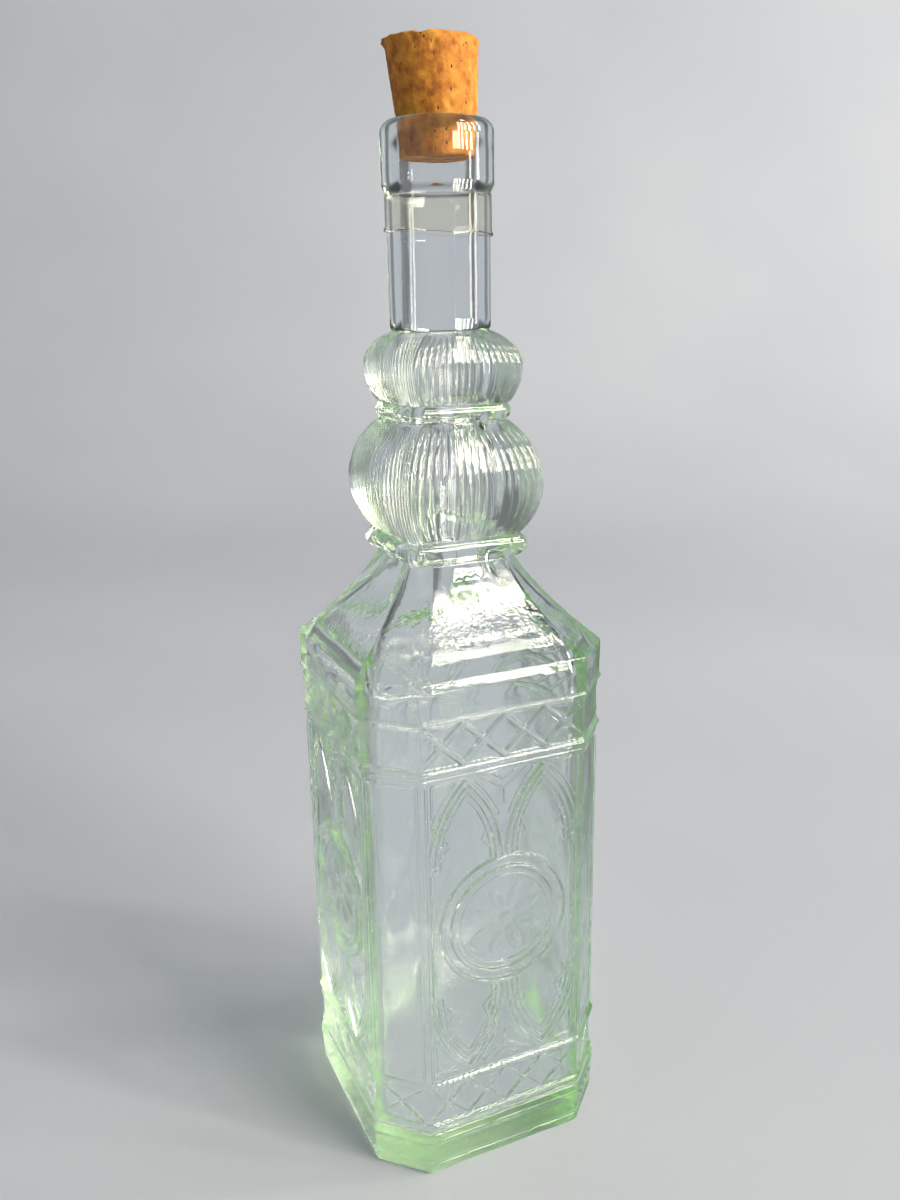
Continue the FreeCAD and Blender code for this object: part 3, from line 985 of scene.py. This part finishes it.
def cork_material():
    """Grainy cork with dark pores, which stand in patches."""
    material, tree = new_material("cork")
    place = tree.place()
    grain = tree.noise(place, 260.0, 6.0, 0.6)
    upright = tree.add("Mapping", {"Vector": place, "Scale": (1.0, 1.0, 0.55)}).outputs["Vector"]
    pores = tree.add("TexVoronoi", {"Vector": upright, "Scale": 640.0}).outputs["Distance"]
    patches = tree.noise(place, 120.0, 3.0)
    sound = tree.mix(1.0, tree.ramp(pores, ((0.08, BLACK), (0.19, WHITE))),
                     tree.ramp(patches, ((0.42, WHITE), (0.52, BLACK))), "LIGHTEN")
    shader = tree.add("BsdfPrincipled", {
        "Base Color": tree.mix(sound, PORE_COLOUR, tree.ramp(grain, CORK_TONES)),
        "Roughness": tree.spread(grain, 0.95, 0.6),
        "Normal": tree.bump(tree.math("MULTIPLY", sound, grain), 0.6, 0.0006)})
    tree.add("OutputMaterial", {"Surface": shader.outputs["BSDF"]})
    return material


# --- Pieces ---
def make_bottle():
    """Pressed glass, a little uneven outside and less so at the neck."""
    points, faces = bottle_mesh()
    outward, reach = outward_of(points)
    still = (reach < 12.0) | (points[:, 2] < 0.01)
    push = 0.06 * waves(points, 4, 16.0) * np.where(still, 0.0, 1.0)
    push = np.where(points[:, 2] > NECK_Z, 0.4 * push, push)
    points = points + outward * push[:, None]
    points[:, :2] = np.clip(points[:, :2], -BODY_LIMIT, BODY_LIMIT)
    bottle = make_object("bottle_of_glass", points, faces, glass_material())
    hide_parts("glass_bottle")
    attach(bottle, "root")


CORK_LEAN = (-0.91, 0.41)
CORK_LEAN_ANGLE = math.radians(3.2)
CORK_EDGE = 0.7
CORK_PITS = 70


def cork_mesh():
    """Plain tapered cork with rounded edges."""
    around = 160
    angles = np.arange(around) * 2 * math.pi / around
    foot, top = cork_radius(CORK_Z) - CORK_EDGE, cork_radius(CORK_TOP_Z) - CORK_EDGE
    low_side, high_side = CORK_Z + CORK_EDGE, CORK_TOP_Z - CORK_EDGE
    path = [(share * foot, CORK_Z) for share in (0.15, 0.5, 0.85)]
    path += [(cork_radius(low_side) - inset, CORK_Z + up) for inset, up in round_edge(CORK_EDGE, 4)]
    path += [(cork_radius(z), z) for z in np.linspace(low_side, high_side, 64)[1:-1]]
    path += [(cork_radius(high_side) - inset, CORK_TOP_Z - down)
             for down, inset in round_edge(CORK_EDGE, 4)]
    path += [(share * top, CORK_TOP_Z) for share in (0.9, 0.75, 0.6, 0.45, 0.3, 0.15)]
    ring = np.column_stack([np.cos(angles), np.sin(angles)])
    shell = Shell()
    starts = shell.add_rows([at_level(radius * ring, z) for radius, z in path])
    shell.add_cap(starts[0], around, CORK_Z, False)
    shell.add_cap(starts[-1], around, CORK_TOP_Z, True)
    return shell.welded()


def make_cork():
    """Tapered cork with an uneven skin, open pits and a chipped rim."""
    rng = np.random.default_rng(11)
    points, faces = cork_mesh()
    outward, reach = outward_of(points)
    side = smooth_step(reach, 6.0, 9.0)
    push = -0.05 - 0.10 * np.abs(waves(points, 21, 3.5)) - 0.08 * np.abs(waves(points, 22, 1.4))
    for _ in range(CORK_PITS):
        z = rng.uniform(CORK_Z + 1, CORK_TOP_Z - 0.5)
        turn = rng.uniform(0, 2 * math.pi)
        size = rng.uniform(0.25, 0.75)
        spot = np.array([cork_radius(z) * math.cos(turn), cork_radius(z) * math.sin(turn), z])
        away = (points - spot) / np.array([1, 1, rng.uniform(1.0, 2.2)])
        push -= 0.55 * size * np.exp(-np.sum(away ** 2, axis=1) / size ** 2)
    points = points + outward * (push * side)[:, None]
    # Chipped rim that flares on one side, and a lean to the same side
    rim = smooth_step(points[:, 2], CORK_TOP_Z - 2.6, CORK_TOP_Z - 0.4) * side
    flare = 0.75 * np.clip(outward[:, :2] @ np.array(CORK_LEAN), 0, 1) ** 2
    points[:, :2] += outward[:, :2] * (rim * (flare + 0.22 * waves(points, 24, 2.6)))[:, None]
    crown = smooth_step(points[:, 2], CORK_TOP_Z - 1.4, CORK_TOP_Z)
    points[:, 2] += (0.16 * waves(points, 23, 4.0) - 0.45) * crown
    lean = np.clip(points[:, 2] - MOUTH_Z - 1.0, 0, None) * math.tan(CORK_LEAN_ANGLE)
    points[:, :2] += lean[:, None] * np.array(CORK_LEAN)
    cork = make_object("tapered_cork", points, faces, cork_material())
    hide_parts("cork_stopper")
    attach(cork, "root")


SLEEVE_GAP = 0.12
SLEEVE_THICK = 0.28
SLEEVE_MIDDLE = 9.2
SLEEVE_SLANT = math.radians(3.0)
SLEEVE_LOW_SIDE = math.radians(-24.0)


def make_sleeve():
    """Thin clear film round the neck; its lower edge slants, ripples and lifts a little."""
    around = 240
    angles = np.arange(around) * 2 * math.pi / around
    inner = NECK_RADIUS + SLEEVE_GAP
    fall = inner * math.tan(SLEEVE_SLANT) * np.cos(angles - SLEEVE_LOW_SIDE)
    low_edge = SLEEVE_TOP_Z - SLEEVE_MIDDLE - fall
    low_edge = low_edge + 0.18 * np.sin(5 * angles + 1.0) + 0.12 * np.sin(9 * angles)
    front, back = [], []
    for share in np.linspace(0, 1, 20):
        z = low_edge + (SLEEVE_TOP_Z - 0.1 - low_edge) * (1 - share)
        radius = inner + SLEEVE_THICK + 0.42 * smooth_step(share, 0.80, 1.0) ** 2
        for rows, size in ((front, radius), (back, radius - SLEEVE_THICK)):
            rows.append(np.column_stack([size * np.cos(angles), size * np.sin(angles), z]))
    shell = Shell()
    shell.add_rows(front[::-1] + back + [front[-1]])
    points, faces = shell.welded()
    sleeve = make_object("film_sleeve", points, faces, film_material())
    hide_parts("neck_sleeve")
    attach(sleeve, "root")


# --- Surroundings, in metres ---
# What glass and gloss see of the studio is pale near the horizon and dark overhead; on the sweep
# this is a painted glow, with painted shade at the top and far sides of the backdrop. Spreads and
# fades are from the floor and from the line of view.
PALE_LOW, PALE_HIGH = (0.45, 0.475, 0.53), (0.49, 0.515, 0.565)
SHADE_COLOUR = (0.05, 0.052, 0.056, 1)
SKY_COLOUR = (0.26, 0.273, 0.295, 1)
BACKDROP_COLOUR = (0.42, 0.425, 0.44, 1)
# Painted shade: the floor's colour darkens in front of the camera, where the lamps light it most,
# so that it looks as even as the rest
NEAR_PAINTED_SHADE = (0.06, 0.061, 0.064, 1)
NEAR_SHADE_FADE = (-0.25, -1.1)
TOP_SHADE = (0.55, 1.0)
SKY_SHADE = (0.25, 0.55)
VIEW_SPREAD = 0.17
SIDE_SHADE = (0.06, 0.15)
SIDE_END = (0.75, 0.45)
SIDE_STRENGTH = 0.75
SWEEP_GLOW = 1.04
SWEEP_TURN = math.radians(24.0)
SWEEP_HALF_WIDE = 7.0
SWEEP_NEAR = -1.8
SWEEP_HEIGHT = 2.6
BEND_START = 0.75
BEND_RADIUS = 0.6
FLOOR_DROP = -0.0002


def sweep_material():
    """Pale and matte, with painted shade on the floor in front of the camera; glass and gloss see a
    painted glow with darker zones that edge the relief.
    """
    material, tree = new_material("pale_sweep")
    place = tree.place()
    pale = tree.ramp(tree.noise(place, 3.0, 2.0), ((0.3, PALE_LOW), (0.7, PALE_HIGH)))
    turned = tree.add("VectorRotate", {"Vector": place, "Angle": SWEEP_TURN},
                      rotation_type="Z_AXIS")
    across, depth, height = tree.split(turned.outputs["Vector"])
    # The floor's own colour carries painted shade in front of the camera, where the lamps light it
    # most
    matte = tree.add("BsdfDiffuse", {
        "Color": tree.mix(tree.step(depth, *NEAR_SHADE_FADE), pale, NEAR_PAINTED_SHADE)})
    # Painted shade in the glow that glass and gloss see: dark zones at the far sides, and at the
    # top of the backdrop
    spread = tree.math("MULTIPLY_ADD", depth, -VIEW_SPREAD, tree.math("ABSOLUTE", across))
    sides = tree.math("MULTIPLY", tree.step(spread, *SIDE_SHADE), tree.step(spread, *SIDE_END))
    sides = tree.math("MULTIPLY", sides, tree.step(depth, 0.0, 0.1))
    sides = tree.math("MULTIPLY", sides, SIDE_STRENGTH)
    shade = tree.math("MAXIMUM", sides, tree.step(height, *TOP_SHADE))
    # Painted light: the sweep glows for glass and gloss rays, with that painted shade mixed in
    glow = tree.add("Emission", {"Color": tree.mix(shade, pale, SHADE_COLOUR),
                                 "Strength": SWEEP_GLOW})
    either = tree.add("MixShader", {0: tree.glass_rays(), 1: matte.outputs["BSDF"],
                                    2: glow.outputs["Emission"]})
    tree.add("OutputMaterial", {"Surface": either.outputs["Shader"]})
    return material


def make_floor():
    """Seamless pale sweep: a floor that curves up into a backdrop behind the bottle."""
    path = [(SWEEP_NEAR, FLOOR_DROP), (0.0, FLOOR_DROP), (BEND_START, FLOOR_DROP)]
    path += [(BEND_START + BEND_RADIUS - short, FLOOR_DROP + up)
             for short, up in round_edge(BEND_RADIUS, 13)[1:]]
    path.append((BEND_START + BEND_RADIUS, SWEEP_HEIGHT))
    c, s = math.cos(-SWEEP_TURN), math.sin(-SWEEP_TURN)
    points = np.array([(side * c - depth * s, side * s + depth * c, z) for depth, z in path
                       for side in (-SWEEP_HALF_WIDE, SWEEP_HALF_WIDE)])
    faces = [[2 * i, 2 * i + 1, 2 * i + 3, 2 * i + 2] for i in range(len(path) - 1)]
    floor = make_object("pale_floor", points, faces, sweep_material(), unit=1.0)


# Lamps as place, width and height, with how bright each surface is
MIDDLE = (0, 0, 0.16)
WINDOW_AIM = (0, 0, 0.2)
WARM = (1.0, 0.93, 0.80)
HIGH_PLACE = (0.85, -0.96, 1.62)
HIGH_SIZE = (0.34, 0.56)
HIGH_RINGS = ((1.0, 4.0), (0.82, 5.0), (0.66, 8.0), (0.5, 12.0), (0.36, 16.0))
PANE_AZIMUTHS = (20, 27, 34, 44, 56, 70)
PANE_DISTANCE = 3.28
PANE_HEIGHTS = (1.04, 1.64, 2.24)
PANE_SIZE = (0.30, 0.50)
PANE_RADIANCE = 24.0


def area_light(name, place, target, size, radiance, colour=WHITE, shape="RECTANGLE"):
    """Soft light; a surface of that radiance looks white at 1."""
    lamp = bpy.data.lights.new(name, "AREA")
    lamp.shape = shape
    lamp.size, lamp.size_y = size
    face = size[0] * size[1] * (math.pi / 4 if shape == "ELLIPSE" else 1)
    lamp.energy = radiance * math.pi * face
    lamp.color = colour
    obj = add_object(name, lamp)
    obj.location = place
    obj.rotation_euler = (Vector(target) - Vector(place)).to_track_quat("-Z", "Y").to_euler()


def make_lights():
    # Ellipses inside each other, so that the highlight on the shoulder fades at its edge
    for i, (share, radiance) in enumerate(HIGH_RINGS):
        x, y, z = HIGH_PLACE
        size = (HIGH_SIZE[0] * share, HIGH_SIZE[1] * share)
        area_light("high_softbox_%d" % (i + 1), (x, y - 0.002 * i, z), MIDDLE, size, radiance,
                   WARM, "ELLIPSE")
    # Panes of a tall window to the right of the camera, on a circle round the bottle
    for i, azimuth in enumerate(PANE_AZIMUTHS):
        turn = math.radians(azimuth)
        for j, height in enumerate(PANE_HEIGHTS):
            place = (PANE_DISTANCE * math.sin(turn), -PANE_DISTANCE * math.cos(turn), height)
            area_light("window_pane_%d_%d" % (i + 1, j + 1), place, WINDOW_AIM, PANE_SIZE,
                       PANE_RADIANCE, WARM)
    area_light("side_softbox", (1.45, -0.70, 0.30), WINDOW_AIM, (0.2, 0.4), 12.0, (1.0, 0.97, 0.93))
    area_light("overhead_softbox", (0.1, 0.5, 2.3), MIDDLE, (1.5, 1.5), 0.3)
    area_light("fill_softbox", (-1.7, -0.7, 0.95), MIDDLE, (1.0, 1.0), 0.15, (0.95, 0.98, 1.0))


def make_world():
    """Pale surroundings, dark overhead for glass and gloss and lighter for the camera."""
    world = bpy.data.worlds.new("studio")
    bpy.context.scene.world = world
    world.use_nodes = True
    tree = Tree(world.node_tree)
    up = tree.split(tree.add("TexCoord", {}).outputs["Generated"])["Z"]
    overhead = tree.math("MULTIPLY", tree.step(up, *SKY_SHADE), tree.glass_rays())
    camera_ray = tree.add("LightPath", {}).outputs["Is Camera Ray"]
    colour = tree.mix(camera_ray, tree.mix(overhead, SKY_COLOUR, SHADE_COLOUR), BACKDROP_COLOUR)
    back = tree.add("Background", {"Color": colour, "Strength": 1.0})
    tree.add("OutputWorld", {"Surface": back.outputs["Background"]})


CAMERA_PLACE = (-0.1173, -0.2615, 0.2418)
CAMERA_PITCH = math.radians(-16.34)
CAMERA_HEADING = math.radians(24.4)
CAMERA_ROLL = math.radians(-1.05)
CAMERA_LENS = 31.97


def make_camera():
    """Near, slightly raised view of the front and left panels."""
    camera = bpy.data.cameras.new("view")
    camera.sensor_fit = "AUTO"
    camera.sensor_width = 36.0
    camera.lens = CAMERA_LENS
    camera.clip_start = 0.01
    obj = add_object("view", camera)
    level = math.cos(CAMERA_PITCH)
    ahead = Vector((math.sin(CAMERA_HEADING) * level, math.cos(CAMERA_HEADING) * level,
                    math.sin(CAMERA_PITCH)))
    right = ahead.cross(Vector((0, 0, 1))).normalized()
    up = right.cross(ahead)
    c, s = math.cos(CAMERA_ROLL), math.sin(CAMERA_ROLL)
    right, up = right * c + up * s, up * c - right * s
    turn = Matrix((right, up, -ahead)).transposed()
    obj.matrix_world = Matrix.Translation(Vector(CAMERA_PLACE)) @ turn.to_4x4()
    bpy.context.scene.camera = obj


bpy.context.scene.view_settings.view_transform = "Standard"
cycles = bpy.context.scene.cycles
cycles.max_bounces = 32
cycles.blur_glossy = 0.0
cycles.sample_clamp_indirect = 0.0
cycles.glossy_bounces = 24
cycles.transmission_bounces = 32
make_camera()
make_bottle()
make_cork()
make_sleeve()
make_floor()
make_lights()
make_world()
